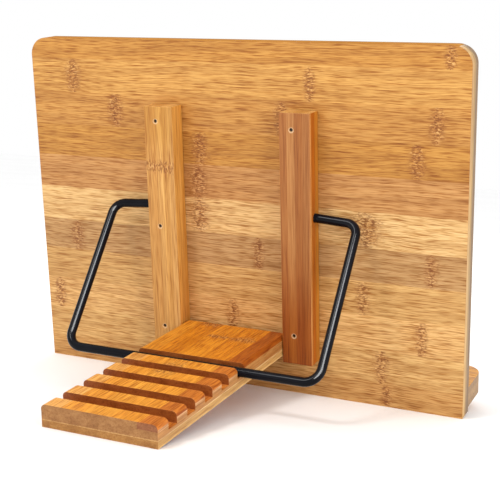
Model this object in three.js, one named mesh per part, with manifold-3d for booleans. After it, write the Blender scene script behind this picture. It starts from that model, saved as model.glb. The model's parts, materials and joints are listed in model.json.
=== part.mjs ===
// A folding bamboo book stand: a back panel with a prop foot, a wire bail that locks into
// one of the foot's slots, and a fold-up book tray with two page clips.
// Millimetres, +Z up, the reader sits on the -Y side, the stand rests on Z = 0.
import * as THREE from 'three';
import { mergeVertices } from 'three/addons/utils/BufferGeometryUtils.js';
import Module from 'manifold-3d';

const wasm = await Module();
wasm.setup();

// Driving dimensions. Inside the leaning group X is across the panel, Y is out of its back
// face and Z is up the panel, with the origin on the panel's bottom back edge.
const BOARD = 15;                // thickness of every bamboo board
const GLUE_GAP = 0.3;            // between boards that lie on each other
const PIN_GAP = 0.3;             // around every rod, pin and wire end

const PANEL_WIDTH = 340;
const PANEL_HEIGHT = 255;
const PANEL_CORNER = 13;

const RAIL_INNER_X = 41.5;       // the foot folds in between the rails
const RAIL_WIDTH = 23;
const RAIL_LOW = 28.5;
const RAIL_LENGTH = 181;
const RAIL_MID_X = RAIL_INNER_X + RAIL_WIDTH / 2;

const BRAD_RADIUS = 0.8;
const BRAD_HEAD = 1.1;           // radius
const BRAD_HOLE = 1.4;           // radius
const BRAD_SUNK = 0.6;           // head below the rail's face
const BRAD_IN_PANEL = 9;

const FOOT_WIDTH = 82;
const FOOT_REACH = 183.4;        // hinge axis to free end
const FOOT_RISE = THREE.MathUtils.degToRad(1.9);  // above square to the panel
const FOOT_AXIS = { y: 8.2, z: 40.3 };
const FOOT_ROD_RADIUS = 2.5;
const FOOT_ROD_IN_RAIL = 10;
const SLOT_COUNT = 5;
const SLOT_FIRST = 68.4;         // hinge axis to the first slot's near wall
const SLOT_PITCH = 23;
const SLOT_WIDTH = 10.2;
const SLOT_DEPTH = 7.4;

const BAIL_WIRE = 3.2;           // radius
const BAIL_ARM_X = 96.8;
const BAIL_ARM = 117.1;
const BAIL_OPEN = THREE.MathUtils.degToRad(40);   // from hanging flat on the panel
const BAIL_AXIS = { y: 7.5, z: 136 };
const BAIL_END_IN_RAIL = 13;
const BAIL_SPLAY = 2.2;          // how far the short ends run down before their bends
const BAIL_TOP_BEND = 9;
const BAIL_LOW_BEND = 11;

const TRAY_WIDTH = 337;
const TRAY_REAR = -BOARD - 1;
const TRAY_FRONT = -62;
const TRAY_LOW = 0.3;
const TRAY_TOP = TRAY_LOW + BOARD;
const TRAY_CORNER = 14.5;

const BARREL_RADIUS = 2;
const PLATE = 1;                 // sheet thickness of the hinge leaves
const HINGE_X = 110;
const HINGE_WIDTH = 48;
const LEAF_REACH = 17;
const HINGE_PIN = 1;             // radius
const KNUCKLE_GAP = 0.5;
const TRAY_AXIS = {
  y: -BOARD - GLUE_GAP * 2 - BARREL_RADIUS,
  z: TRAY_TOP + GLUE_GAP + BARREL_RADIUS,
};

const SCREW_HOLE = 1.4;          // radius
const SCREW_DEPTH = 8;
const SCREW_OFFSETS = [-14, 14];
const SCREW_BACK = 11;           // from a barrel's axis to its screws

const CLIP_X = 62;
const CLIP_AXIS_Y = -60;
const CLIP_BARREL = 16;
const CLIP_PLATE_REACH = 14;
const CLIP_SCREW_OFFSETS = [-5, 5];
const CLIP_SCREW_BACK = 9;
const CLIP_WIRE = 1.2;           // radius
const CLIP_LENGTH = 78;
const CLIP_BEND = 3;
const CLIP_LEAN = THREE.MathUtils.degToRad(31);    // from straight up, towards the panel
const TIP_RADIUS = 2.2;
const TIP_LENGTH = 16;

const X_AXIS = new THREE.Vector3(1, 0, 0);

const bamboo = (color) => new THREE.MeshStandardMaterial({ color, roughness: 0.5, metalness: 0 });
const materials = {
  panel: bamboo(0xd19a5c),
  leftRail: bamboo(0xb98058),
  rightRail: bamboo(0xddb276),
  foot: bamboo(0xc78a4c),
  tray: bamboo(0xcf9c5e),
  wire: new THREE.MeshStandardMaterial({ color: 0x101010, roughness: 0.25, metalness: 0.4 }),
  steel: new THREE.MeshStandardMaterial({ color: 0xb9bbbd, roughness: 0.35, metalness: 1 }),
  rubber: new THREE.MeshStandardMaterial({ color: 0x1a1a1a, roughness: 0.8, metalness: 0 }),
};

// ---- geometry helpers ----------------------------------------------------------------

// A closed three.js geometry as a manifold solid.
function solid(geometry) {
  const bare = geometry.clone();
  bare.deleteAttribute('normal');
  bare.deleteAttribute('uv');
  const merged = mergeVertices(bare, 1e-4);
  return new wasm.Manifold(new wasm.Mesh({
    numProp: 3,
    vertProperties: merged.attributes.position.array,
    triVerts: new Uint32Array(merged.index.array),
  }));
}

// A manifold solid as a three.js geometry.
function geometryOf(made) {
  const { vertProperties, triVerts } = made.getMesh();
  const geometry = new THREE.BufferGeometry();
  geometry.setAttribute('position', new THREE.BufferAttribute(vertProperties, 3));
  geometry.setIndex(new THREE.BufferAttribute(triVerts, 1));
  geometry.computeVertexNormals();
  return geometry;
}

// The body with every cutter taken away.
function cut(body, cutters) {
  return geometryOf(cutters.reduce((left, cutter) => left.subtract(solid(cutter)), solid(body)));
}

function box(width, depth, height, x, y, z) {
  return new THREE.BoxGeometry(width, depth, height).translate(x, y, z);
}

// Round bars from start to start + length, along X, Y or Z.
function barX(radius, start, length, y, z, sides = 16) {
  const bar = new THREE.CylinderGeometry(radius, radius, length, sides);
  return bar.rotateZ(-Math.PI / 2).translate(start + length / 2, y, z);
}

function barY(radius, start, length, x, z, sides = 12) {
  return new THREE.CylinderGeometry(radius, radius, length, sides).translate(x, start + length / 2, z);
}

function barZ(radius, start, length, x, y, sides = 12) {
  const bar = new THREE.CylinderGeometry(radius, radius, length, sides);
  return bar.rotateX(Math.PI / 2).translate(x, y, start + length / 2);
}

function extrude(shape, depth) {
  return new THREE.ExtrudeGeometry(shape, { depth, bevelEnabled: false, curveSegments: 8 });
}

// A bent wire's centre line: straight stretches between corners, each corner rounded off.
// Every stretch is one step long and every bend takes BEND_STEPS, so steps are uneven.
const BEND_STEPS = 6;

class BentWire extends THREE.Curve {
  constructor(corners, bends) {
    super();
    this.knots = [this.knot(corners[0], corners[1], corners[0])];
    for (let i = 1; i < corners.length - 1; i += 1) {
      this.addBend(corners[i - 1], corners[i], corners[i + 1], bends[i - 1]);
    }
    const [before, last] = corners.slice(-2);
    this.knots.push(this.knot(before, last, last));
  }

  knot(from, to, point) {
    return { point: point.clone(), tangent: to.clone().sub(from).normalize() };
  }

  addBend(before, corner, after, radius) {
    const into = corner.clone().sub(before).normalize();
    const out = after.clone().sub(corner).normalize();
    const turn = into.angleTo(out);
    const start = corner.clone().addScaledVector(into, -radius * Math.tan(turn / 2));
    const side = out.clone().addScaledVector(into, -out.dot(into)).normalize();
    for (let step = 0; step <= BEND_STEPS; step += 1) {
      const angle = (turn * step) / BEND_STEPS;
      const point = start.clone().addScaledVector(into, radius * Math.sin(angle));
      point.addScaledVector(side, radius * (1 - Math.cos(angle)));
      const tangent = into.clone().multiplyScalar(Math.cos(angle)).addScaledVector(side, Math.sin(angle));
      this.knots.push({ point, tangent });
    }
  }

  get steps() {
    return this.knots.length - 1;
  }

  getPointAt(t) {
    return this.knots[Math.round(t * this.steps)].point.clone();
  }

  getTangentAt(t) {
    return this.knots[Math.round(t * this.steps)].tangent.clone();
  }
}

function wire(corners, bends, radius, sides) {
  const path = new BentWire(corners, bends);
  const section = new THREE.Shape();
  section.absarc(0, 0, radius, 0, Math.PI * 2);
  return new THREE.ExtrudeGeometry(section, {
    steps: path.steps,
    extrudePath: path,
    curveSegments: sides,
    bevelEnabled: false,
  });
}

function named(name, geometry, material) {
  const mesh = new THREE.Mesh(geometry, material);
  mesh.name = name;
  return mesh;
}

// ---- the two sides ---------------------------------------------------------------------

// The reader's left is -X.
const SIDES = [
  { side: 'left', sign: -1, railMaterial: materials.leftRail, bradX: -50.7, bradHeights: [198, 50] },
  { side: 'right', sign: 1, railMaterial: materials.rightRail, bradX: 55.3, bradHeights: [199, 121.5, 44] },
];

function backPanel() {
  const half = PANEL_WIDTH / 2;
  const outline = new THREE.Shape();
  outline.moveTo(-half, 0);
  outline.lineTo(half, 0);
  outline.absarc(half - PANEL_CORNER, PANEL_HEIGHT - PANEL_CORNER, PANEL_CORNER, 0, Math.PI / 2);
  outline.absarc(-half + PANEL_CORNER, PANEL_HEIGHT - PANEL_CORNER, PANEL_CORNER, Math.PI / 2, Math.PI);
  outline.closePath();
  const board = extrude(outline, BOARD).rotateX(Math.PI / 2);
  const holes = [];
  for (const { sign, bradX, bradHeights } of SIDES) {
    for (const z of bradHeights) {
      holes.push(barY(BRAD_HOLE, -BRAD_IN_PANEL - 1, BRAD_IN_PANEL + 2, bradX, z));
    }
    for (const offset of SCREW_OFFSETS) {
      const x = sign * HINGE_X + offset;
      holes.push(barY(SCREW_HOLE, -BOARD - 1, SCREW_DEPTH + 2, x, TRAY_AXIS.z + SCREW_BACK));
    }
  }
  return named('back_panel', cut(board, holes), materials.panel);
}

function rail({ side, sign, railMaterial, bradX, bradHeights }) {
  const thick = BOARD - GLUE_GAP;
  const x = sign * RAIL_MID_X;
  const board = box(RAIL_WIDTH, thick, RAIL_LENGTH, x, GLUE_GAP + thick / 2, RAIL_LOW + RAIL_LENGTH / 2);
  const outerX = RAIL_INNER_X + RAIL_WIDTH;
  const bores = [
    barX(BAIL_WIRE + PIN_GAP, sign * outerX - BAIL_END_IN_RAIL - 1, 2 * BAIL_END_IN_RAIL + 2,
      BAIL_AXIS.y, BAIL_AXIS.z),
    barX(FOOT_ROD_RADIUS + PIN_GAP, sign * RAIL_INNER_X - FOOT_ROD_IN_RAIL - 1, 2 * FOOT_ROD_IN_RAIL + 2,
      FOOT_AXIS.y, FOOT_AXIS.z),
  ];
  for (const z of bradHeights) {
    bores.push(barY(BRAD_HOLE, -1, BOARD + 2, bradX, z));
  }
  return named(`${side}_rail`, cut(board, bores), railMaterial);
}

// A headed brad that holds a rail on the panel, its head sunk below the rail's face.
function brad(name, x, z) {
  const top = BOARD - BRAD_SUNK;
  const profile = [
    new THREE.Vector2(0, -BRAD_IN_PANEL),
    new THREE.Vector2(BRAD_RADIUS, -BRAD_IN_PANEL + 2),
    new THREE.Vector2(BRAD_RADIUS, top - 1),
    new THREE.Vector2(BRAD_HEAD, top - 0.5),
    new THREE.Vector2(BRAD_HEAD, top),
    new THREE.Vector2(0, top),
  ];
  const mesh = named(name, new THREE.LatheGeometry(profile, 10), materials.steel);
  mesh.position.set(x, 0, z);
  return mesh;
}

// ---- foot ------------------------------------------------------------------------------

// Outline in the foot's length and height, from the hinge axis, then extruded across.
function footBoard() {
  const half = BOARD / 2;
  const outline = new THREE.Shape();
  outline.moveTo(0, -half);
  outline.lineTo(FOOT_REACH, -half);
  outline.lineTo(FOOT_REACH, half);
  for (let slot = SLOT_COUNT - 1; slot >= 0; slot -= 1) {
    const near = SLOT_FIRST + slot * SLOT_PITCH;
    outline.lineTo(near + SLOT_WIDTH, half);
    outline.lineTo(near + SLOT_WIDTH, half - SLOT_DEPTH);
    outline.lineTo(near, half - SLOT_DEPTH);
    outline.lineTo(near, half);
  }
  outline.lineTo(0, half);
  outline.absarc(0, 0, half, Math.PI / 2, (3 * Math.PI) / 2);
  const board = extrude(outline, FOOT_WIDTH);
  board.translate(0, 0, -FOOT_WIDTH / 2);
  board.applyMatrix4(new THREE.Matrix4().makeBasis(
    new THREE.Vector3(0, 1, 0),
    new THREE.Vector3(0, 0, 1),
    X_AXIS,
  ));
  const bore = barX(FOOT_ROD_RADIUS + PIN_GAP, -FOOT_WIDTH, 2 * FOOT_WIDTH, 0, 0);
  return named('foot_board', cut(board, [bore]), materials.foot);
}

function footHingeRod() {
  const half = RAIL_INNER_X + FOOT_ROD_IN_RAIL;
  const rod = barX(FOOT_ROD_RADIUS, -half, 2 * half, FOOT_AXIS.y, FOOT_AXIS.z);
  return named('foot_hinge_rod', rod, materials.steel);
}

// ---- bail ------------------------------------------------------------------------------

// One bent wire: X is across, -Z runs down the arms from the pivot axis.
function bailWire() {
  const end = RAIL_INNER_X + RAIL_WIDTH - BAIL_END_IN_RAIL;
  const clear = RAIL_INNER_X + RAIL_WIDTH + 1.5;
  const corners = [
    new THREE.Vector3(-end, 0, 0),
    new THREE.Vector3(-clear, 0, 0),
    new THREE.Vector3(-BAIL_ARM_X, 0, -BAIL_SPLAY),
    new THREE.Vector3(-BAIL_ARM_X, 0, -BAIL_ARM),
    new THREE.Vector3(BAIL_ARM_X, 0, -BAIL_ARM),
    new THREE.Vector3(BAIL_ARM_X, 0, -BAIL_SPLAY),
    new THREE.Vector3(clear, 0, 0),
    new THREE.Vector3(end, 0, 0),
  ];
  const small = BAIL_WIRE * 2;
  const bends = [small, BAIL_TOP_BEND, BAIL_LOW_BEND, BAIL_LOW_BEND, BAIL_TOP_BEND, small];
  const mesh = named('bail_wire', wire(corners, bends, BAIL_WIRE, 10), materials.wire);
  mesh.position.set(0, BAIL_AXIS.y, BAIL_AXIS.z);
  mesh.rotation.x = BAIL_OPEN;
  return mesh;
}

// ---- tray ------------------------------------------------------------------------------

function trayBoard() {
  const half = TRAY_WIDTH / 2;
  const front = TRAY_FRONT + TRAY_CORNER;
  const outline = new THREE.Shape();
  outline.moveTo(half, TRAY_REAR);
  outline.lineTo(-half, TRAY_REAR);
  outline.absarc(-half + TRAY_CORNER, front, TRAY_CORNER, Math.PI, (3 * Math.PI) / 2);
  outline.absarc(half - TRAY_CORNER, front, TRAY_CORNER, (3 * Math.PI) / 2, 2 * Math.PI);
  outline.closePath();
  const board = extrude(outline, BOARD).translate(0, 0, TRAY_LOW);
  const holes = [];
  const drill = (x, y) => holes.push(barZ(SCREW_HOLE, TRAY_TOP - SCREW_DEPTH, SCREW_DEPTH + 1, x, y));
  for (const { sign } of SIDES) {
    for (const offset of SCREW_OFFSETS) {
      drill(sign * HINGE_X + offset, TRAY_AXIS.y - SCREW_BACK);
    }
    for (const offset of CLIP_SCREW_OFFSETS) {
      drill(sign * CLIP_X + offset, CLIP_AXIS_Y + CLIP_SCREW_BACK);
    }
  }
  return named('tray_board', cut(board, holes), materials.tray);
}

// A hinge leaf: its barrel's axis is the local X axis, and its plate runs to -Y, level with
// the barrel's low side. Only the leaf's own knuckles join the plate.
function leaf(name, width, reach, knuckles, screwOffsets, screwBack, wireRadius) {
  const low = -BARREL_RADIUS;
  const clear = BARREL_RADIUS + 0.4;
  const plateZ = low + PLATE / 2;
  let body = solid(box(width, reach - clear, PLATE, 0, -(reach + clear) / 2, plateZ));
  for (const [start, length] of knuckles) {
    const web = box(length, clear + 1, PLATE, start + length / 2, -(clear + 1) / 2, plateZ);
    body = body.add(solid(barX(BARREL_RADIUS, start, length, 0, 0))).add(solid(web));
  }
  body = body.subtract(solid(barX(wireRadius + PIN_GAP, -width, 2 * width, 0, 0, 12)));
  for (const offset of screwOffsets) {
    body = body.subtract(solid(barZ(SCREW_HOLE, low - 1, PLATE + 2, offset, -screwBack)));
  }
  return named(name, geometryOf(body), materials.steel);
}

// A pan-head wood screw with a crossed recess, pointing down -Z from its seat at Z = 0.
function screwGeometry() {
  const head = 2.5;
  const rise = 0.7;
  const shank = SCREW_HOLE - 0.3;
  const profile = [
    new THREE.Vector2(0, -SCREW_DEPTH + 0.5),
    new THREE.Vector2(shank, -SCREW_DEPTH + 2.5),
    new THREE.Vector2(shank, 0),
    new THREE.Vector2(head, 0),
    new THREE.Vector2(head * 0.9, rise * 0.6),
    new THREE.Vector2(head * 0.5, rise),
    new THREE.Vector2(0, rise),
  ];
  const blank = new THREE.LatheGeometry(profile, 14).rotateX(Math.PI / 2);
  const recess = rise * 0.6;
  return cut(blank, [
    box(head * 0.9, 0.55, recess * 2, 0, 0, rise),
    box(0.55, head * 0.9, recess * 2, 0, 0, rise),
  ]);
}

const SCREW = screwGeometry();

function screws(prefix, offsets, screwBack) {
  return offsets.map((offset, index) => {
    const mesh = named(`${prefix}_screw_${index + 1}`, SCREW, materials.steel);
    mesh.position.set(offset, -screwBack, -BARREL_RADIUS + PLATE + 0.1);
    return mesh;
  });
}

// The tray leaf has the middle knuckle and the panel leaf the two outer ones.
function trayHinge({ side, sign }) {
  const third = HINGE_WIDTH / 3;
  const gap = KNUCKLE_GAP / 2;
  const middle = [[-third / 2 + gap, third - KNUCKLE_GAP]];
  const outer = [
    [-HINGE_WIDTH / 2, third - gap],
    [third / 2 + gap, third - gap],
  ];
  const hinge = new THREE.Group();
  hinge.position.set(sign * HINGE_X, TRAY_AXIS.y, TRAY_AXIS.z);

  hinge.add(leaf(`${side}_hinge_tray_leaf`, HINGE_WIDTH, LEAF_REACH, middle, SCREW_OFFSETS,
    SCREW_BACK, HINGE_PIN));
  hinge.add(...screws(`${side}_hinge_tray`, SCREW_OFFSETS, SCREW_BACK));

  // Turned over about the line between up and forward, so that the plate runs up the panel.
  const onPanel = new THREE.Group();
  onPanel.quaternion.setFromAxisAngle(new THREE.Vector3(0, 1, -1).normalize(), Math.PI);
  onPanel.add(leaf(`${side}_hinge_panel_leaf`, HINGE_WIDTH, LEAF_REACH, outer, SCREW_OFFSETS,
    SCREW_BACK, HINGE_PIN));
  onPanel.add(...screws(`${side}_hinge_panel`, SCREW_OFFSETS, SCREW_BACK));
  hinge.add(onPanel);

  const pin = barX(HINGE_PIN, -HINGE_WIDTH / 2, HINGE_WIDTH, 0, 0, 12);
  hinge.add(named(`${side}_hinge_pin`, pin, materials.steel));
  return hinge;
}

// ---- page clips ------------------------------------------------------------------------

// A bracket on the tray's front edge holds a bent wire finger with a rubber tip.
function pageClip({ side, sign }) {
  const clip = new THREE.Group();
  clip.position.set(sign * CLIP_X, CLIP_AXIS_Y, TRAY_TOP + GLUE_GAP + BARREL_RADIUS);

  const bracket = new THREE.Group();
  bracket.rotation.z = Math.PI;
  bracket.add(leaf(`${side}_clip_bracket`, CLIP_BARREL, CLIP_PLATE_REACH,
    [[-CLIP_BARREL / 2, CLIP_BARREL]], CLIP_SCREW_OFFSETS, CLIP_SCREW_BACK, CLIP_WIRE));
  bracket.add(...screws(`${side}_clip`, CLIP_SCREW_OFFSETS, CLIP_SCREW_BACK));
  clip.add(bracket);

  const finger = new THREE.Group();
  finger.rotation.x = -CLIP_LEAN;
  const inside = -sign * (CLIP_BARREL / 2 + 1.5);
  const outside = sign * (CLIP_BARREL / 2 + 1 + CLIP_BEND);
  const corners = [
    new THREE.Vector3(inside, 0, 0),
    new THREE.Vector3(outside, 0, 0),
    new THREE.Vector3(outside, 0, CLIP_LENGTH),
  ];
  finger.add(named(`${side}_clip_finger`, wire(corners, [CLIP_BEND], CLIP_WIRE, 10), materials.wire));
  finger.add(clipTip(`${side}_clip_tip`, outside));
  clip.add(finger);
  return clip;
}

// A closed rubber sleeve over the finger's end.
function clipTip(name, x) {
  const inner = CLIP_WIRE + 0.1;
  const start = CLIP_LENGTH - TIP_LENGTH + 2;
  const profile = [
    new THREE.Vector2(0, CLIP_LENGTH + 0.2),
    new THREE.Vector2(inner, CLIP_LENGTH + 0.2),
    new THREE.Vector2(inner, start),
    new THREE.Vector2(TIP_RADIUS, start),
    new THREE.Vector2(TIP_RADIUS, CLIP_LENGTH + 1.2),
    new THREE.Vector2(TIP_RADIUS * 0.7, CLIP_LENGTH + 2),
    new THREE.Vector2(0, CLIP_LENGTH + 2.2),
  ];
  const sleeve = new THREE.LatheGeometry(profile, 12).rotateX(Math.PI / 2).translate(x, 0, 0);
  return named(name, sleeve, materials.rubber);
}

// ---- assembly --------------------------------------------------------------------------

// The panel's bottom edge and the foot's low end edge both stand on the floor.
const footEnd = {
  y: FOOT_AXIS.y + FOOT_REACH * Math.cos(FOOT_RISE) + (BOARD / 2) * Math.sin(FOOT_RISE),
  z: FOOT_AXIS.z + FOOT_REACH * Math.sin(FOOT_RISE) - (BOARD / 2) * Math.cos(FOOT_RISE),
};
const lean = Math.atan2(footEnd.z, footEnd.y);

const leaning = new THREE.Group();
leaning.rotation.x = -lean;
leaning.add(backPanel(), footHingeRod(), bailWire(), trayBoard());

const foot = new THREE.Group();
foot.position.set(0, FOOT_AXIS.y, FOOT_AXIS.z);
foot.rotation.x = FOOT_RISE;
foot.add(footBoard());
leaning.add(foot);

for (const each of SIDES) {
  leaning.add(rail(each), trayHinge(each), pageClip(each));
  each.bradHeights.forEach((z, index) => {
    leaning.add(brad(`${each.side}_brad_${index + 1}`, each.bradX, z));
  });
}

const bookStand = new THREE.Group();
bookStand.add(leaning);

// The origin is under the middle of the whole stand.
const middle = new THREE.Box3().setFromObject(bookStand, true).getCenter(new THREE.Vector3());
leaning.position.y = -middle.y;

export default bookStand;
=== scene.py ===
"""Looks of a folding bamboo book stand, seen from behind. Metres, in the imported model's frame."""
import json
import math

import bmesh
import bpy
from mathutils import Matrix, Vector


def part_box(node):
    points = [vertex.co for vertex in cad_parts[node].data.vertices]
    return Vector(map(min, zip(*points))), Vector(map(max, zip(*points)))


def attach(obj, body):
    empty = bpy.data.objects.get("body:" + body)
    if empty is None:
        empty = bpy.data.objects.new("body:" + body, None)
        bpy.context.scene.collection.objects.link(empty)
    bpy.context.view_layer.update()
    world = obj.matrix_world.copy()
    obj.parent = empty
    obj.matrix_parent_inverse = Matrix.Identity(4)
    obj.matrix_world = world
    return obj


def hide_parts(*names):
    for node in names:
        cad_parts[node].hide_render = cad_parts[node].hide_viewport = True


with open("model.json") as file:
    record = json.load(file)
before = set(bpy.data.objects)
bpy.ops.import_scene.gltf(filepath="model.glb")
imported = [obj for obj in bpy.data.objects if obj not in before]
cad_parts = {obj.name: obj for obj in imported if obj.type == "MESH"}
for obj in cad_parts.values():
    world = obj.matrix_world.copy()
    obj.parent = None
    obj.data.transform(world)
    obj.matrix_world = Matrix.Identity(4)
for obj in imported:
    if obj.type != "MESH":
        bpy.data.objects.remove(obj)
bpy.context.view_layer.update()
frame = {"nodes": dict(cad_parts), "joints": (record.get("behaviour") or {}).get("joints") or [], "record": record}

MM = 0.001
JOINTS = {joint["name"]: joint for joint in frame["joints"]}
MOUNTS = {mount["name"]: mount for mount in frame["record"]["mounts"]}


def pivot(name):
    """A joint's place in the row frame."""
    return Vector(JOINTS[name]["pos_m"])


# ---- frames of the boards ------------------------------------------------------------------
# Board frames are in millimetres: X across the stand, Y out of the panel's back (or along the
# foot), Z up the panel (or up through the foot's thickness).

BOARD = 15.0
HALF_BOARD = BOARD / 2
RAIL_INNER = 41.5             # where a rail's two sides are, across the stand
RAIL_OUTER = 64.5
TRAY_LOW = 0.3                # the tray board's underside and its top, up the panel
TRAY_HIGH = 15.3
TRAY_FRONT = -62              # the tray's front and rear edges, out of the panel's back
TRAY_REAR = -16
PLIES = (-9.3, -5.7)          # where the panel's three plies meet

top_axis = Vector(MOUNTS["top_edge"]["axis"])
LEAN = math.atan2(top_axis.y, top_axis.z)
# How far the foot at rest is from square to the panel: at the end of its fold it lies along the panel.
FOOT_RISE = math.radians(90 - JOINTS["foot_fold"]["range_deg"][1])
PANEL_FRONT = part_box("back_panel")[0].y
PANEL_ORIGIN = Vector((0, PANEL_FRONT + BOARD * MM * math.cos(LEAN), 0))


def board_frame(origin, lean):
    """Row frame in metres to a board's frame in millimetres."""
    return Matrix.Scale(1 / MM, 4) @ Matrix.Rotation(lean, 4, "X") @ Matrix.Translation(-origin)


PANEL = board_frame(PANEL_ORIGIN, LEAN)
FOOT = board_frame(pivot("foot_fold"), LEAN - FOOT_RISE)


# ---- camera, light, floor ------------------------------------------------------------------

CAMERA_AT = PANEL_ORIGIN + Vector((-0.3504, 0.7492, 0.1796))
CAMERA_AIM = PANEL_ORIGIN + Vector((0, -0.001, 0.1012))
CAMERA_ROLL = math.radians(3.55)
CAMERA_LENS = 80.1
LIT_MIDDLE = (0, 0, 0.1)      # what the lights point at


def aimed(at, target, roll=0.0):
    """A placing at a point, with -Z towards the target, turned by roll about that line."""
    turn = (target - at).to_track_quat("-Z", "Y").to_matrix().to_4x4()
    return Matrix.Translation(at) @ turn @ Matrix.Rotation(roll, 4, "Z")


def add_camera():
    data = bpy.data.cameras.new("camera")
    data.lens = CAMERA_LENS
    data.sensor_width = 36
    camera = bpy.data.objects.new("camera", data)
    camera.matrix_world = aimed(CAMERA_AT, CAMERA_AIM, CAMERA_ROLL)
    bpy.context.scene.collection.objects.link(camera)
    bpy.context.scene.camera = camera


def add_area_light(name, at, target, size, watts):
    data = bpy.data.lights.new(name, "AREA")
    data.shape = "DISK"
    data.size = size
    data.energy = watts
    light = bpy.data.objects.new(name, data)
    light.matrix_world = aimed(Vector(at), Vector(target))
    bpy.context.scene.collection.objects.link(light)
    return light


def add_wire_light(wire):
    """A softbox above the camera that lights the wire alone, for the bright line along it."""
    light = add_area_light("wire_light", (-0.55, 1.1, 0.75), LIT_MIDDLE, 1.1, 150)
    lit = bpy.data.collections.new("lit_wire")
    lit.objects.link(wire)
    light.light_linking.receiver_collection = lit


def add_studio():
    scene = bpy.context.scene
    scene.view_settings.view_transform = "Standard"
    world = bpy.data.worlds.new("studio")
    world.use_nodes = True
    world.node_tree.nodes["Background"].inputs["Color"].default_value = (1, 1, 1, 1)
    world.node_tree.nodes["Background"].inputs["Strength"].default_value = 1.0
    scene.world = world
    add_area_light("key", (0.55, 1.15, 1.5), LIT_MIDDLE, 0.5, 13)
    add_area_light("fill", (-1.3, 0.8, 0.5), LIT_MIDDLE, 0.7, 7)
    add_area_light("front", (0.4, -1.4, 1.0), LIT_MIDDLE, 0.8, 5)

    floor_mesh = bpy.data.meshes.new("floor")
    reach = 6.0
    corners = [(-reach, -reach, 0), (reach, -reach, 0), (reach, reach, 0), (-reach, reach, 0)]
    floor_mesh.from_pydata(corners, [], [(0, 1, 2, 3)])
    floor = bpy.data.objects.new("floor", floor_mesh)
    bpy.context.scene.collection.objects.link(floor)
    paint = Graph("floor_paint")
    tone = paint.noise(paint.coords(), 3.0, detail=2)
    paint.set("Base Color", paint.ramp(tone, [(0.3, (251, 251, 251)), (0.7, (254, 254, 254))]))
    paint.set("Roughness", 0.9)
    floor_mesh.materials.append(paint.material)


# ---- material helpers ----------------------------------------------------------------------

WHITE = (255, 255, 255)


def linear(colour):
    """0-255 display colour to linear light, with alpha."""
    def one(value):
        value = value / 255
        return value / 12.92 if value <= 0.04045 else ((value + 0.055) / 1.055) ** 2.4
    return (*(one(value) for value in colour), 1.0)


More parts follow.
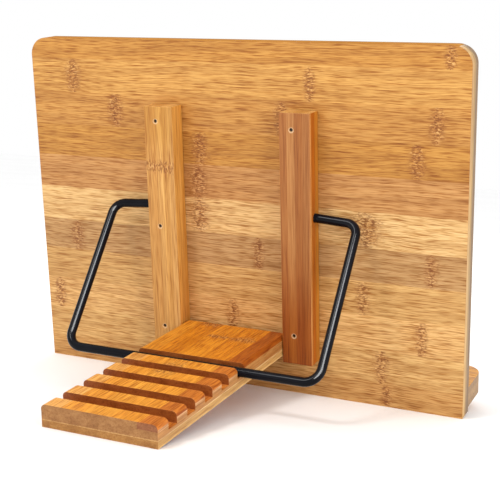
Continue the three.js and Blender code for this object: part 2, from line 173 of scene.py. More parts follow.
class Graph:
    """A material with one Principled shader, and short calls for the nodes used here."""

    def __init__(self, name):
        self.material = bpy.data.materials.new(name)
        self.material.use_nodes = True
        self.nodes = self.material.node_tree.nodes
        self.links = self.material.node_tree.links
        self.shader = self.nodes["Principled BSDF"]

    def plug(self, socket, value):
        if isinstance(value, bpy.types.NodeSocket):
            self.links.new(value, socket)
        elif value is not None:
            socket.default_value = value

    def set(self, name, value):
        self.plug(self.shader.inputs[name], value)

    def coords(self, matrix=None):
        """Object coordinates, or those coordinates in a board's frame."""
        raw = self.nodes.new("ShaderNodeTexCoord").outputs["Object"]
        if matrix is None:
            return raw
        place, turn, scale = matrix.decompose()
        mapping = self.nodes.new("ShaderNodeMapping")
        mapping.inputs["Location"].default_value = place
        mapping.inputs["Rotation"].default_value = turn.to_euler()
        mapping.inputs["Scale"].default_value = scale
        self.links.new(raw, mapping.inputs["Vector"])
        return mapping.outputs["Vector"]

    def split(self, vector):
        node = self.nodes.new("ShaderNodeSeparateXYZ")
        self.plug(node.inputs[0], vector)
        return dict(zip("XYZ", node.outputs))

    def join(self, x, y, z=0.0):
        node = self.nodes.new("ShaderNodeCombineXYZ")
        for socket, value in zip(node.inputs, (x, y, z)):
            self.plug(socket, value)
        return node.outputs[0]

    def math(self, operation, a, b=None, clamp=False):
        node = self.nodes.new("ShaderNodeMath")
        node.operation = operation
        node.use_clamp = clamp
        self.plug(node.inputs[0], a)
        self.plug(node.inputs[1], b)
        return node.outputs[0]

    def distance(self, a, b):
        node = self.nodes.new("ShaderNodeVectorMath")
        node.operation = "DISTANCE"
        self.plug(node.inputs[0], a)
        self.plug(node.inputs[1], b)
        return node.outputs["Value"]

    def noise(self, vector, scale=1.0, detail=3.0, roughness=0.5, distortion=0.0):
        node = self.nodes.new("ShaderNodeTexNoise")
        self.plug(node.inputs["Vector"], vector)
        node.inputs["Scale"].default_value = scale
        node.inputs["Detail"].default_value = detail
        node.inputs["Roughness"].default_value = roughness
        node.inputs["Distortion"].default_value = distortion
        return node.outputs["Fac"]

    def span(self, value, low, high, to_low=0.0, to_high=1.0):
        """A smooth step from to_low at low to to_high at high."""
        node = self.nodes.new("ShaderNodeMapRange")
        node.interpolation_type = "SMOOTHSTEP"
        for name, number in zip(("Value", "From Min", "From Max", "To Min", "To Max"),
                                (value, low, high, to_low, to_high)):
            self.plug(node.inputs[name], number)
        return node.outputs["Result"]

    def ramp(self, value, stops, interpolation="LINEAR"):
        node = self.nodes.new("ShaderNodeValToRGB")
        node.color_ramp.interpolation = interpolation
        elements = node.color_ramp.elements
        while len(elements) < len(stops):
            elements.new(1.0)
        for element, (place, colour) in zip(elements, stops):
            element.position = place
            element.color = linear(colour)
        self.plug(node.inputs["Fac"], value)
        return node.outputs["Color"]

    def within(self, value, low, high):
        """1 between low and high, 0 outside."""
        return self.math("MULTIPLY", self.math("GREATER_THAN", value, low),
                         self.math("LESS_THAN", value, high))

    def mix(self, factor, a, b, mode="MIX"):
        """Mixes two colours. 0, 6 and 7 are the node's sockets for the factor and the colours."""
        node = self.nodes.new("ShaderNodeMix")
        node.data_type = "RGBA"
        node.blend_type = mode
        for index, value in zip((0, 6, 7), (factor, a, b)):
            self.plug(node.inputs[index], value)
        return node.outputs[2]

    def bump(self, height, strength, depth):
        node = self.nodes.new("ShaderNodeBump")
        node.inputs["Strength"].default_value = strength
        node.inputs["Distance"].default_value = depth
        self.plug(node.inputs["Height"], height)
        self.set("Normal", node.outputs["Normal"])


# ---- bamboo --------------------------------------------------------------------------------

DASH_DARK = (196, 164, 118)     # multiplied in where the grain's dashes are darkest
DASH_MIDDLE = (238, 228, 212)
STREAK_DARK = (224, 213, 198)
NODE_TINT = (176, 112, 56)
SPECK_DARK = (116, 62, 24)
SPECK_LIGHT = (248, 208, 140)
# Pale ring painted round each brad hole: a painted highlight on its rim.
RIM_HIGHLIGHT_PALE = (246, 218, 178)
MARK_LONG = 7.5       # half length of a culm node along the grain
RIM_HIGHLIGHT_WIDE = 2.3       # radius of the pale ring painted round a brad's hole as a highlight on its rim
STREAK_WIDE = 5.0     # how wide the grain's broad streaks, its dashes and its hairs are
DASH_WIDE = 1.1
HAIR_WIDE = 0.6


def bamboo(name, matrix, along, across, strips, marks=(), inlay=None, rim_highlights=(), fade=None,
           dash=18.0, depth=1.0, wave=4.0, gloss=0.3, seed=0.0):
    """Glued bamboo strips.

    along and across name the board axes of the grain and of the row of strips. strips are
    (start, colour) across the board in millimetres, in order. marks are the speckled culm
    nodes: (place along, strip number, size). inlay is one odd block's colour and limits, and
    dents are the places of brad holes, round each of which a pale ring is painted as a
    highlight on the hole's rim. fade is where along the grain a tint starts, where it is
    full, and the tint. dash is the length of the grain's dashes, depth is how dark they go, wave
    is how far the grain strays from straight, gloss is the lacquer's, and boards with another
    seed have another grain.
    """
    paint = Graph(name)
    axis = paint.split(paint.coords(matrix))
    through = next(each for each in "XYZ" if each not in (along, across))
    inward = paint.math("MULTIPLY", paint.math("ADD", axis[through], seed), 0.4)
    wander = paint.noise(paint.join(axis[along], axis[across], seed), 0.015, detail=1)
    waved = paint.math("ADD", axis[across], paint.math("MULTIPLY", wander, wave))

    def fibres(length, width, detail):
        vector = paint.join(
            paint.math("DIVIDE", axis[along], length),
            paint.math("DIVIDE", waved, width),
            inward,
        )
        return paint.noise(vector, 1.0, detail=detail, roughness=0.6)

    low, high = strips[0][0], strips[-1][0]
    place = paint.math("DIVIDE", paint.math("SUBTRACT", axis[across], low), high - low)
    stops = [((start - low) / (high - low), colour) for start, colour in strips[:-1]]
    colour = paint.ramp(place, stops, "CONSTANT")
    if inlay:
        block, (along_low, along_high), (across_low, across_high) = inlay
        inside = paint.math("MULTIPLY", paint.within(axis[along], along_low, along_high),
                            paint.within(axis[across], across_low, across_high))
        colour = paint.mix(inside, colour, linear(block))
    if fade:
        start, full, tint = fade
        colour = paint.mix(paint.span(axis[along], start, full), colour,
                           paint.mix(1.0, colour, linear(tint), "MULTIPLY"))
    patch, halo = node_patches(paint, axis[along], axis[across], strips, marks)

    streaks = fibres(dash * 6, STREAK_WIDE, 3)
    tone = paint.ramp(streaks, [(0.36, STREAK_DARK), (0.60, WHITE)])
    colour = paint.mix(0.9, colour, tone, "MULTIPLY")
    dashes = fibres(dash, DASH_WIDE, 1)
    tone = paint.ramp(dashes, [(0.30, DASH_DARK), (0.43, DASH_MIDDLE), (0.56, WHITE)])
    colour = paint.mix(depth * 0.9, colour, tone, "MULTIPLY")
    hairs = fibres(dash * 0.6, HAIR_WIDE, 1)
    tone = paint.ramp(hairs, [(0.34, DASH_DARK), (0.50, WHITE)])
    hair_depth = depth * 0.6
    if halo:
        hair_depth = paint.math("ADD", paint.math("MULTIPLY", halo, 0.4), hair_depth, clamp=True)
    colour = paint.mix(hair_depth, colour, tone, "MULTIPLY")

    height = dashes
    if patch:
        colour, specks = node_specks(paint, axis[along], axis[across], colour, patch)
        height = paint.math("ADD", height, specks)
    # Painted highlight: a pale ring round each brad hole, where its rim would catch the light.
    for spot in rim_highlights:
        distance = paint.distance(paint.join(axis[along], axis[across]), (*spot, 0.0))
        painted_highlight = paint.span(distance, RIM_HIGHLIGHT_WIDE, RIM_HIGHLIGHT_WIDE * 0.7, 0.0, 0.4)
        colour = paint.mix(painted_highlight, colour, linear(RIM_HIGHLIGHT_PALE))
    paint.set("Base Color", colour)
    paint.set("Roughness", paint.span(streaks, 0.3, 0.7, 0.42, 0.56))
    paint.set("Specular IOR Level", gloss)
    paint.bump(height, 0.4, 0.15 * MM)
    return paint.material


def node_patches(paint, along, across, strips, marks):
    """Where the culm's nodes are, each within its own strip, and how far grain darkens round them."""
    patch, halo = None, None
    for at, index, size in marks:
        low, high = strips[index][0], strips[index + 1][0]
        width = high - low
        lane = paint.within(across, low, high)
        off_middle = paint.math("ABSOLUTE", paint.math("SUBTRACT", across, (low + high) / 2))
        gap = paint.math("ABSOLUTE", paint.math("SUBTRACT", along, at))
        ragged = paint.noise(paint.join(along, across, at), 0.3, detail=2)
        taper = paint.span(off_middle, width * 0.25, width * 0.5, 0.0, 0.35)
        reach = paint.math("ADD", paint.math("DIVIDE", gap, MARK_LONG * size),
                           paint.math("ADD", ragged, taper))
        core = paint.math("MULTIPLY", paint.span(reach, 1.5, 0.6), lane)
        around = paint.math("MULTIPLY", paint.span(reach, 4.5, 1.0), lane)
        patch = paint.math("MAXIMUM", patch, core) if patch else core
        halo = paint.math("MAXIMUM", halo, around) if halo else around
    return patch, halo


def node_specks(paint, along, across, colour, patch):
    """Short zigzag specks in a browner patch."""
    wavy = paint.join(paint.math("MULTIPLY", along, 0.36), paint.math("MULTIPLY", across, 1.1))
    specks = paint.noise(wavy, 1.0, detail=2, roughness=0.55, distortion=0.7)
    colour = paint.mix(paint.math("MULTIPLY", patch, 0.3), colour, linear(NODE_TINT))
    dark = paint.math("MULTIPLY", patch, paint.span(specks, 0.47, 0.56, 0.0, 0.85))
    light = paint.math("MULTIPLY", patch, paint.span(specks, 0.42, 0.34, 0.0, 0.35))
    colour = paint.mix(dark, colour, linear(SPECK_DARK))
    colour = paint.mix(light, colour, linear(SPECK_LIGHT))
    return colour, paint.math("MULTIPLY", patch, paint.math("MULTIPLY", specks, -1.0))


# The strips up the panel's back and its reading side, and the culm nodes that show on them.
BACK_STRIPS = [
    (0, (202, 154, 92)), (17, (218, 175, 112)), (41.5, (224, 179, 116)), (66.5, (214, 170, 107)),
    (91, (195, 153, 101)), (115.5, (229, 189, 129)), (141, (201, 149, 90)), (165.5, (198, 143, 68)),
    (190, (203, 149, 78)), (215, (213, 161, 87)), (239.5, (202, 146, 71)), (255, WHITE),
]
BACK_MARKS = [
    (134, 9, 1.2), (98, 8, 1.2), (28, 7, 1.4), (30, 6, 1.5), (30, 5, 1.4), (-58, 9, 0.8), (-37, 8, 1.0),
    (-156, 10, 0.9), (-148, 8, 1.0), (-135, 7, 1.1), (139, 4, 1.1), (-17, 4, 0.9), (-98, 5, 2.4),
    (-146, 4, 0.9), (-97, 3, 1.0), (159, 2, 1.0), (5, 2, 1.0), (-140, 2, 0.9), (-111, 1, 1.1),
    (-115, 0, 0.8),
]
FRONT_STRIPS = [
    (0, (214, 160, 98)), (22, (218, 158, 90)), (45, (228, 178, 116)), (67, (224, 166, 94)),
    (90, (212, 150, 82)), (113, (220, 168, 104)), (136, (198, 146, 96)), (159, (222, 158, 84)),
    (182, (230, 180, 118)), (205, (222, 160, 90)), (230, (212, 146, 76)), (255, WHITE),
]
FRONT_MARKS = [
    (-120, 9, 1.0), (-20, 8, 1.1), (70, 10, 0.8), (128, 7, 1.0), (-75, 6, 1.0), (22, 5, 1.0),
    (104, 4, 1.0), (-140, 3, 1.1), (-48, 2, 0.9), (60, 1, 0.9), (148, 1, 0.8), (-100, 0, 0.8),
]


def even_strips(low, high, colours):
    """Strips of one width from low to high, one of each colour."""
    width = (high - low) / len(colours)
    strips = [(low + index * width, colour) for index, colour in enumerate(colours)]
    return strips + [(high, colours[-1])]


def brad_places(side):
    """A rail's brads, as places up and across the panel."""
    places = []
    for node in frame["nodes"]:
        if node.startswith(f"{side}_brad"):
            low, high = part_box(node)
            middle = PANEL @ ((low + high) / 2)
            places.append((middle.z, middle.x))
    return places


def bamboo_materials():
    """Every board's materials, by board and by which way a face looks."""
    half = HALF_BOARD
    glue_line = 2.8              # below the foot's middle plane, where its two plies meet
    glue_wide = 0.6
    deep_ply, ply = PLIES
    back_edge = -0.8             # where the panel's edge turns into the easing of its back
    pale_rail = [(218, 167, 97), (209, 155, 82), (222, 171, 99), (213, 158, 86), (218, 165, 93)]
    red_rail = [(172, 113, 60), (165, 103, 50), (181, 124, 70), (169, 108, 55)]
    return {
        "panel_back": bamboo("panel_back", PANEL, "X", "Z", BACK_STRIPS, BACK_MARKS),
        "panel_front": bamboo("panel_front", PANEL, "X", "Z", FRONT_STRIPS, FRONT_MARKS, seed=40.0),
        "panel_edge": bamboo("panel_edge", PANEL, "Z", "Y",
                             [(-BOARD, (140, 113, 80)), (deep_ply, (180, 146, 94)),
                              (ply, (212, 173, 112)), (back_edge, (194, 144, 76)), (0, WHITE)],
                             dash=20, depth=0.6, seed=11.0),
        "panel_top": bamboo("panel_top", PANEL, "X", "Y",
                            [(-BOARD, (176, 130, 74)), (deep_ply, (206, 150, 82)),
                             (ply, (190, 132, 66)), (0, WHITE)],
                            dash=20, depth=0.6, gloss=0.0, seed=5.0),
        "right_rail_face": bamboo("right_rail_face", PANEL, "Z", "X",
                                  even_strips(RAIL_INNER, RAIL_OUTER, pale_rail),
                                  [(166, index, 0.9) for index in range(5)],
                                  rim_highlights=brad_places("right"), fade=(165, 195, (240, 233, 206)),
                                  dash=30, depth=0.8, wave=1.5),
        # The strip next to the panel, up to 5 mm out, is painted darker: painted shade in the corner where the
        # rail meets the panel.
        "right_rail_side": bamboo("right_rail_side", PANEL, "Z", "Y",
                                  [(0, (217, 154, 68)), (5, (234, 176, 90)), (BOARD, WHITE)],
                                  dash=30, depth=0.7, wave=1.5),
        "left_rail_face": bamboo("left_rail_face", PANEL, "Z", "X",
                                 even_strips(-RAIL_OUTER, -RAIL_INNER, red_rail),
                                 rim_highlights=brad_places("left"), fade=(125, 50, (228, 188, 115)),
                                 dash=40, depth=0.7, wave=1.0),
        # The outer strip, from 13 mm out, is the face ply, painted lighter as well: a painted highlight along the
        # eased outer edge.
        "left_rail_side": bamboo("left_rail_side", PANEL, "Z", "Y",
                                 [(0, (194, 125, 38)), (7, (186, 103, 20)), (13, (208, 143, 76)),
                                  (BOARD, WHITE)],
                                 dash=30, depth=0.5, wave=1.0),
        "rail_end": bamboo("rail_end", PANEL, "Y", "X", even_strips(-70, 70, pale_rail * 3),
                           dash=2.0, depth=0.6),
        "foot_face": bamboo("foot_face", FOOT, "Y", "X",
                            [(-41, (178, 94, 20)), (-29, (221, 138, 28)), (-9, (228, 148, 36)),
                             (9, (218, 136, 26)), (26, (226, 150, 42)), (41, WHITE)],
                            [(1, 3, 1.0), (25, 1, 1.1), (25, 2, 0.6)], wave=1.5),
        "foot_rib": bamboo("foot_rib", FOOT, "Y", "X",
                           [(-41, (206, 122, 44)), (-29, (240, 164, 56)), (-9, (242, 170, 62)),
                            (9, (236, 160, 54)), (26, (238, 176, 92)), (41, WHITE)],
                           [(97, 2, 2.3)], wave=1.5),
        "foot_side": bamboo("foot_side", FOOT, "Y", "Z",
                            [(-half, (236, 196, 130)), (1.2 - half, (214, 170, 104)),
                             (-glue_line, (236, 204, 150)), (glue_wide - glue_line, (202, 146, 84)),
                             (half - 3, (176, 97, 18)), (half, WHITE)],
                            inlay=((226, 174, 122), (79, 190), (half - 5, half)),
                            dash=16, depth=0.6, wave=0.5),
        "foot_end": bamboo("foot_end", FOOT, "X", "Z",
                           [(-half, (174, 125, 66)), (-glue_line, (202, 158, 100)),
                            (glue_wide - glue_line, (168, 121, 72)), (half, WHITE)],
                           inlay=((152, 96, 60), (-41, -27), (half - 4.5, half)),
                           dash=1.2, depth=0.5, wave=0.0),
        # The slot walls are end grain with saw burn, and their dark brown also holds painted shade of the recess.
        "foot_slot": bamboo("foot_slot", FOOT, "X", "Z",
                            [(-half, (168, 96, 42)), (-glue_line, (152, 82, 32)), (half, WHITE)],
                            dash=1.5, depth=0.6, wave=0.0),
        "tray_face": bamboo("tray_face", PANEL, "X", "Y",
                            even_strips(TRAY_FRONT, TRAY_REAR, [(232, 176, 92), (224, 166, 84)]),
                            [(-80, 1, 0.9), (30, 0, 0.8), (120, 1, 0.9)], gloss=0.1, seed=23.0),
        "tray_front": bamboo("tray_front", PANEL, "X", "Z",
                             even_strips(TRAY_LOW, TRAY_HIGH,
                                         [(206, 154, 92), (222, 172, 108), (210, 158, 94)]),
                             gloss=0.1, seed=27.0),
        "tray_edge": bamboo("tray_edge", PANEL, "X", "Z",
                            even_strips(TRAY_LOW, TRAY_HIGH,
                                        [(166, 133, 94), (177, 143, 102), (164, 131, 92)]),
                            dash=4, depth=0.5, wave=0.5, seed=31.0),
    }


# ---- metal and rubber ----------------------------------------------------------------------

def gloss_black():
    """Powder-coated wire: deep black with a faint orange peel and dusty lows."""
    paint = Graph("gloss_black")
    peel = paint.noise(paint.coords(), 900.0, detail=2)
    dust = paint.noise(paint.coords(), 45.0, detail=4, roughness=0.6)
    paint.set("Base Color", paint.ramp(dust, [(0.35, (2, 2, 3)), (0.75, (5, 5, 7))]))
    paint.set("Roughness", paint.span(dust, 0.35, 0.75, 0.10, 0.18))
    paint.set("Specular IOR Level", 0.10)
    paint.bump(peel, 0.08, 0.04 * MM)
    return paint.material


def zinc_steel(name, tone):
    """Plated sheet and turned steel, with fine brushing along X and darker smudges."""
    paint = Graph(name)
    axis = paint.split(paint.coords())
    brushed = paint.noise(paint.join(paint.math("MULTIPLY", axis["X"], 60.0),
                                     paint.math("MULTIPLY", axis["Y"], 2400.0),
                                     paint.math("MULTIPLY", axis["Z"], 2400.0)), 1.0, detail=3)
    smudge = paint.noise(paint.coords(), 120.0, detail=3)
    darker = tuple(value * 0.72 for value in tone)
    paint.set("Base Color", paint.ramp(smudge, [(0.3, darker), (0.7, tone)]))
    paint.set("Metallic", 1.0)
    paint.set("Roughness", paint.span(brushed, 0.3, 0.7, 0.26, 0.44))
    paint.bump(brushed, 0.2, 0.03 * MM)
    return paint.material


def soft_rubber():
    """Matt black rubber with a dusty bloom."""
    paint = Graph("soft_rubber")
    bloom = paint.noise(paint.coords(), 260.0, detail=4, roughness=0.65)
    paint.set("Base Color", paint.ramp(bloom, [(0.35, (24, 24, 25)), (0.75, (48, 47, 46))]))
    paint.set("Roughness", paint.span(bloom, 0.3, 0.7, 0.62, 0.85))
    paint.bump(bloom, 0.3, 0.06 * MM)
    return paint.material


# ---- pieces --------------------------------------------------------------------------------

def add_piece(name, bm, materials, body, nodes):
    """Turns a bmesh into a piece that stands for CAD nodes and rides on their body."""
    mesh = bpy.data.meshes.new(name)
    bm.to_mesh(mesh)
    bm.free()
    for material in materials:
        mesh.materials.append(material)
    mesh.shade_smooth()
    mesh.set_sharp_from_angle(angle=math.radians(32))
    piece = bpy.data.objects.new(name, mesh)
    bpy.context.scene.collection.objects.link(piece)
    level = piece.modifiers.new("even_normals", "WEIGHTED_NORMAL")
    level.keep_sharp = True
    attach(piece, body)
    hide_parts(*nodes)
    return piece


PANEL_EASE = 1.0 * MM         # how far each board's edges are rounded over
RAIL_EASE = 0.9 * MM
TRAY_EASE = 3.0 * MM
FOOT_EASE = 0.5 * MM
PLATE_EASE = 0.18 * MM
PLATE_SHORTEST = 3 * MM       # a plate's shorter edges stay crisp
SHARP = math.radians(30)
SHORTEST_EASED = 2.0 * MM     # shorter edges are the rims of small holes, which stay crisp


def cleaned_mesh(node):
    """A CAD node's shape with its flat faces joined up."""
    bm = bmesh.new()
    bm.from_mesh(frame["nodes"][node].data)
    bmesh.ops.remove_doubles(bm, verts=bm.verts, dist=0.002 * MM)
    bmesh.ops.dissolve_limit(bm, angle_limit=math.radians(0.5), verts=bm.verts, edges=bm.edges)
    return bm


def sharp_edges(bm, shortest=SHORTEST_EASED):
    return [edge for edge in bm.edges
            if edge.is_manifold and edge.calc_length() > shortest and edge.calc_face_angle(0) > SHARP]


def ease(bm, edges, offset):
    """Rounds edges over in three steps."""
    bmesh.ops.bevel(bm, geom=edges, offset=offset, offset_type="OFFSET", segments=3, profile=0.5,
                    affect="EDGES", clamp_overlap=True)


def paint_faces(bm, matrix, choose):
    """choose gives a face's material number from its normal and middle in the board's frame."""
    turn = matrix.to_3x3()
    for face in bm.faces:
        face.material_index = choose((turn @ face.normal).normalized(), matrix @ face.calc_center_median())


def add_board(node, body, matrix, materials, choose, offset):
    """A board with eased edges."""
    bm = cleaned_mesh(node)
    ease(bm, sharp_edges(bm), offset)
    paint_faces(bm, matrix, choose)
    add_piece(f"{node}_wood", bm, materials, body, [node])


def strongest(normal, middle=None):
    """0, 1 or 2: the axis that a normal is closest to. Like all choosers, it is given the middle too."""
    return max(range(3), key=lambda index: abs(normal[index]))


LEVEL = 0.97                  # a normal's Z from which a face counts as the panel's top, not a round corner


def panel_side(normal, middle):
    """0 for the sides and round corners, 1 for the back, 2 for the top, 3 for the reading side."""
    axis = strongest(normal)
    if axis == 2 and abs(normal.z) < LEVEL:
        return 0
    return 3 if axis == 1 and normal.y < 0 else axis


FOOT_ROUND = 3.2              # radius along the foot's two long top edges
ROUND_STEPS = 5
FOOT_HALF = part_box("foot_board")[1].x / MM
FOOT_REACH = 183.4            # from the foot's hinge to its far end
FOOT_SLOTS = 70.0             # faces whose middle is further out than this are ribs or slots
FOOT_EASED = 0.7              # points this close below the top face, on eased edges, go down with it
NEAR = 0.1                    # how close to the board's faces an edge on them lies
NEAR_ARC = 0.2                # the same for points on the round hinge end


def foot_side(normal, middle):
    """0: sides, 1: far end, 2: platform and underside, 3: slot walls, 4: ribs and slot floors."""
    axis = strongest(normal)
    on_ribs = middle.y > FOOT_SLOTS and normal.z > 0
    rounded = abs(middle.x) > FOOT_HALF - FOOT_ROUND and normal.z > 0.1
    if rounded and axis != 1 and middle.z > 0.5:
        if normal.z < 0.85:
            return 0
        return 4 if on_ribs else 2
    if axis == 1 and middle.y < FOOT_REACH - 3:
        return 3
    return 4 if axis == 2 and on_ribs else axis


def is_long_top(edge):
    """Is this one of the edges that round_foot rounds?"""
    run = (FOOT.to_3x3() @ (edge.verts[1].co - edge.verts[0].co)).normalized()
    middle = FOOT @ ((edge.verts[0].co + edge.verts[1].co) / 2)
    return abs(run.y) > 0.99 and middle.z > HALF_BOARD - NEAR and abs(middle.x) > FOOT_HALF - NEAR


def round_foot(bm):
    """Rounds the two long top edges: cuts lines along them, then lowers what lies outside the first.

    Behind the hinge the end is a half cylinder, so its points move towards the hinge instead.
    """
    inner = FOOT_HALF - FOOT_ROUND
    for sign in (-1, 1):
        for step in range(ROUND_STEPS):
            line = inner + FOOT_ROUND * math.sin(math.pi / 2 * step / ROUND_STEPS)
            bmesh.ops.bisect_plane(bm, geom=bm.verts[:] + bm.edges[:] + bm.faces[:], dist=0.0001 * MM,
                                   plane_co=(sign * line * MM, 0, 0), plane_no=(1, 0, 0))
    back = FOOT.inverted()
    for vert in bm.verts:
        x, along, up = FOOT @ vert.co
        over = min(abs(x) - inner, FOOT_ROUND)
        if over <= 0:
            continue
        drop = FOOT_ROUND - math.sqrt(FOOT_ROUND ** 2 - over ** 2)
        from_hinge = math.hypot(along, up)
        if along >= 0 and up > HALF_BOARD - FOOT_EASED:
            vert.co = back @ Vector((x, along, up - drop))
        elif along < 0 and up > 0 and from_hinge > HALF_BOARD - NEAR_ARC:
            shrink = 1 - drop / HALF_BOARD * up / from_hinge
            vert.co = back @ Vector((x, along * shrink, up * shrink))


def add_foot(wood):
    bm = cleaned_mesh("foot_board")
    ease(bm, [edge for edge in sharp_edges(bm) if not is_long_top(edge)], FOOT_EASE)
    round_foot(bm)
    paint_faces(bm, FOOT, foot_side)
    faces = ("foot_side", "foot_end", "foot_face", "foot_slot", "foot_rib")
    materials = [wood[name] for name in faces]
    add_piece("foot_board_wood", bm, materials, "foot", ["foot_board"])


def add_boards(wood):
    panel_wood = [wood["panel_edge"], wood["panel_back"], wood["panel_top"], wood["panel_front"]]
    add_board("back_panel", "back", PANEL, panel_wood, panel_side, PANEL_EASE)
    for side in ("left", "right"):
        materials = [wood[f"{side}_rail_side"], wood[f"{side}_rail_face"], wood["rail_end"]]
        add_board(f"{side}_rail", "back", PANEL, materials, strongest, RAIL_EASE)
    add_foot(wood)
    tray_wood = [wood["tray_edge"], wood["tray_front"], wood["tray_face"]]
    add_board("tray_board", "tray", PANEL, tray_wood, strongest, TRAY_EASE)


# ---- bent wires ----------------------------------------------------------------------------

def bent_path(corners, bends, steps=14):
    """Points and directions along straight stretches whose corners are rounded off."""
    path = [(corners[0], (corners[1] - corners[0]).normalized())]
    for before, corner, after, radius in zip(corners, corners[1:], corners[2:], bends):
        into = (corner - before).normalized()
        out = (after - corner).normalized()
        turn = into.angle(out)
        start = corner - into * radius * math.tan(turn / 2)
        side = (out - into * into.dot(out)).normalized()
        for step in range(steps + 1):
            angle = turn * step / steps
            point = start + into * radius * math.sin(angle) + side * radius * (1 - math.cos(angle))
            path.append((point, into * math.cos(angle) + side * math.sin(angle)))
    path.append((corners[-1], (corners[-1] - corners[-2]).normalized()))
    return path


def ring(bm, centre, across, up, radius, sides):
    turns = [2 * math.pi * index / sides for index in range(sides)]
    return [bm.verts.new(centre + (across * math.cos(a) + up * math.sin(a)) * radius) for a in turns]


def skin(bm, rings):
    """Faces between rings of one size, with both ends closed."""
    for first, second in zip(rings, rings[1:]):
        for index in range(len(first)):
            following = (index + 1) % len(first)
            bm.faces.new((first[index], first[following], second[following], second[index]))
    bm.faces.new(list(reversed(rings[0])))
    bm.faces.new(rings[-1])


def wire_mesh(corners, bends, radius, normal, sides=24):
    """A round wire along a flat bent path. normal is square to the path's plane."""
    bm = bmesh.new()
    path = bent_path(corners, bends)
    chamfer = radius * 0.25
    first, last = path[0], path[-1]
    stations = [(first[0], first[1], radius - chamfer), (first[0] + first[1] * chamfer, first[1], radius)]
    stations += [(point, direction, radius) for point, direction in path[1:-1]]
    stations += [(last[0] - last[1] * chamfer, last[1], radius), (last[0], last[1], radius - chamfer)]
    rings = [ring(bm, point, normal, direction.cross(normal), size, sides)
             for point, direction, size in stations]
    skin(bm, rings)
    bmesh.ops.recalc_face_normals(bm, faces=bm.faces)
    return bm


BAIL_RADIUS = 3.2 * MM
BAIL_SPLAY = 2.2 * MM         # how far the short ends drop towards the crossbar on their way out
BAIL_BENDS = [2 * BAIL_RADIUS, 9 * MM, 11 * MM, 11 * MM, 9 * MM, 2 * BAIL_RADIUS]
BAIL_CLEAR = 1.5 * MM         # straight run outside the rail before the splay
BAIL_IN_RAIL = 13 * MM        # length of an end inside its rail


def add_bail(black):
    low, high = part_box("bail_wire")
    rail_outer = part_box("right_rail")[1].x
    hinge = pivot("bail_swing")
    crossbar = Vector((0, high.y - BAIL_RADIUS, low.z + BAIL_RADIUS))
    arm = crossbar - Vector((0, hinge.y, hinge.z))
    arm_x = high.x - BAIL_RADIUS
    splayed = hinge + arm.normalized() * BAIL_SPLAY

    def half(sign):
        return [
            Vector((sign * (rail_outer - BAIL_IN_RAIL), hinge.y, hinge.z)),
            Vector((sign * (rail_outer + BAIL_CLEAR), hinge.y, hinge.z)),
            Vector((sign * arm_x, splayed.y, splayed.z)),
            Vector((sign * arm_x, crossbar.y, crossbar.z)),
        ]

    corners = half(-1) + half(1)[::-1]
    normal = arm.cross(Vector((1, 0, 0))).normalized()
    bm = wire_mesh(corners, BAIL_BENDS, BAIL_RADIUS, normal)
    return add_piece("bail_wire_bent", bm, [black], "bail", ["bail_wire"])


CLIP_RADIUS = 1.2 * MM
CLIP_BEND = 3 * MM
TIP_RADIUS = 2.2 * MM
TIP_LONG = 16 * MM
TIP_OVER = 2 * MM             # how far the sleeve reaches past the wire's end
TIP_RIBS = 5
FIRST_RIB = 2.0 * MM
RIB_PITCH = 1.9 * MM


def add_clip_finger(side, black, rubber):
    node = f"{side}_clip_finger"
    tip = f"{side}_clip_tip"
    low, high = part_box(node)
    hinge = pivot(f"{side}_clip_turn")
    sign = -1 if side == "left" else 1
    inner_x, outer_x = (low.x, high.x) if sign > 0 else (high.x, low.x)
    tip_low, tip_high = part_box(tip)
    tip_middle = (tip_low + tip_high) / 2
    rise = Vector((0, tip_middle.y - hinge.y, tip_middle.z - hinge.z)).normalized()
    arm_x = outer_x - sign * CLIP_RADIUS
    tip_end = (tip_high.z - hinge.z - abs(rise.y) * TIP_RADIUS * 0.4) / rise.z
    length = tip_end - TIP_OVER
    base = Vector((arm_x, hinge.y, hinge.z))
    corners = [Vector((inner_x, hinge.y, hinge.z)), base, base + rise * length]
    normal = rise.cross(Vector((1, 0, 0))).normalized()
    bm = wire_mesh(corners, [CLIP_BEND], CLIP_RADIUS, normal, sides=16)
    add_piece(f"{node}_bent", bm, [black], f"{side}_clip", [node])
    add_clip_tip(side, base, rise, normal, tip_end, rubber)


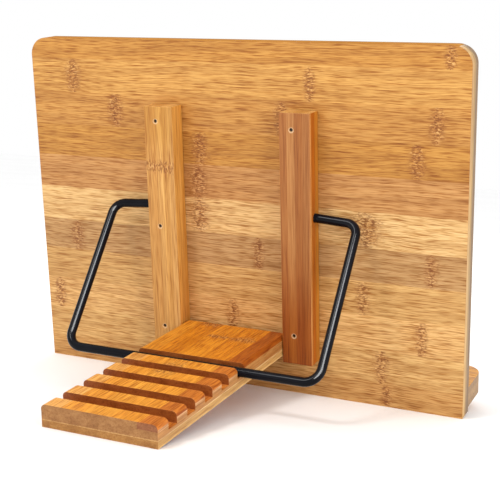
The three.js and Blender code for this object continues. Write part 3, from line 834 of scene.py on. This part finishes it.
def add_clip_tip(side, base, rise, normal, end, rubber):
    """A rubber sleeve with shallow ribs, open below, where the wire goes in."""
    bm = bmesh.new()
    start = end - TIP_LONG
    across = rise.cross(normal)
    profile = [(0.05 * MM + CLIP_RADIUS, 0.0), (TIP_RADIUS * 0.9, 0.0), (TIP_RADIUS, 0.3 * MM)]
    valley = TIP_RADIUS * 0.86
    for rib in range(TIP_RIBS):
        at = FIRST_RIB + rib * RIB_PITCH
        profile += [(TIP_RADIUS, at), (valley, at + 0.3 * MM), (valley, at + 0.8 * MM),
                    (TIP_RADIUS, at + 1.1 * MM)]
    profile += [(TIP_RADIUS, TIP_LONG - 1.6 * MM), (TIP_RADIUS * 0.93, TIP_LONG - 0.8 * MM),
                (TIP_RADIUS * 0.72, TIP_LONG - 0.25 * MM), (TIP_RADIUS * 0.35, TIP_LONG)]
    rings = [ring(bm, base + rise * (start + at), normal, across, radius, 20) for radius, at in profile]
    skin(bm, rings)
    bmesh.ops.recalc_face_normals(bm, faces=bm.faces)
    add_piece(f"{side}_clip_tip_sleeve", bm, [rubber], f"{side}_clip", [f"{side}_clip_tip"])


# ---- hinges, screws, brads -----------------------------------------------------------------

def add_plates(steel):
    """The hinge leaves and clip brackets, their sheet edges broken."""
    for side in ("left", "right"):
        for node, body in ((f"{side}_hinge_panel_leaf", "back"), (f"{side}_hinge_tray_leaf", "tray"),
                           (f"{side}_clip_bracket", "tray")):
            bm = cleaned_mesh(node)
            ease(bm, sharp_edges(bm, shortest=PLATE_SHORTEST), PLATE_EASE)
            add_piece(f"{node}_plate", bm, [steel], body, [node])


def dress_small_nodes(steel, nail):
    """Screws, pins, brads and the foot's rod keep their CAD shapes."""
    for name, node in frame["nodes"].items():
        if node.hide_render:
            continue
        node.data.materials.clear()
        node.data.materials.append(nail if "brad" in name else steel)
        node.data.shade_smooth()
        node.data.set_sharp_from_angle(angle=math.radians(35))


# ---- build ---------------------------------------------------------------------------------

add_camera()
add_studio()
add_boards(bamboo_materials())
wire_black = gloss_black()
tip_rubber = soft_rubber()
plated = zinc_steel("zinc_plate", (205, 206, 208))
add_wire_light(add_bail(wire_black))
for which in ("left", "right"):
    add_clip_finger(which, wire_black, tip_rubber)
add_plates(plated)
dress_small_nodes(plated, zinc_steel("nail_steel", (74, 64, 56)))
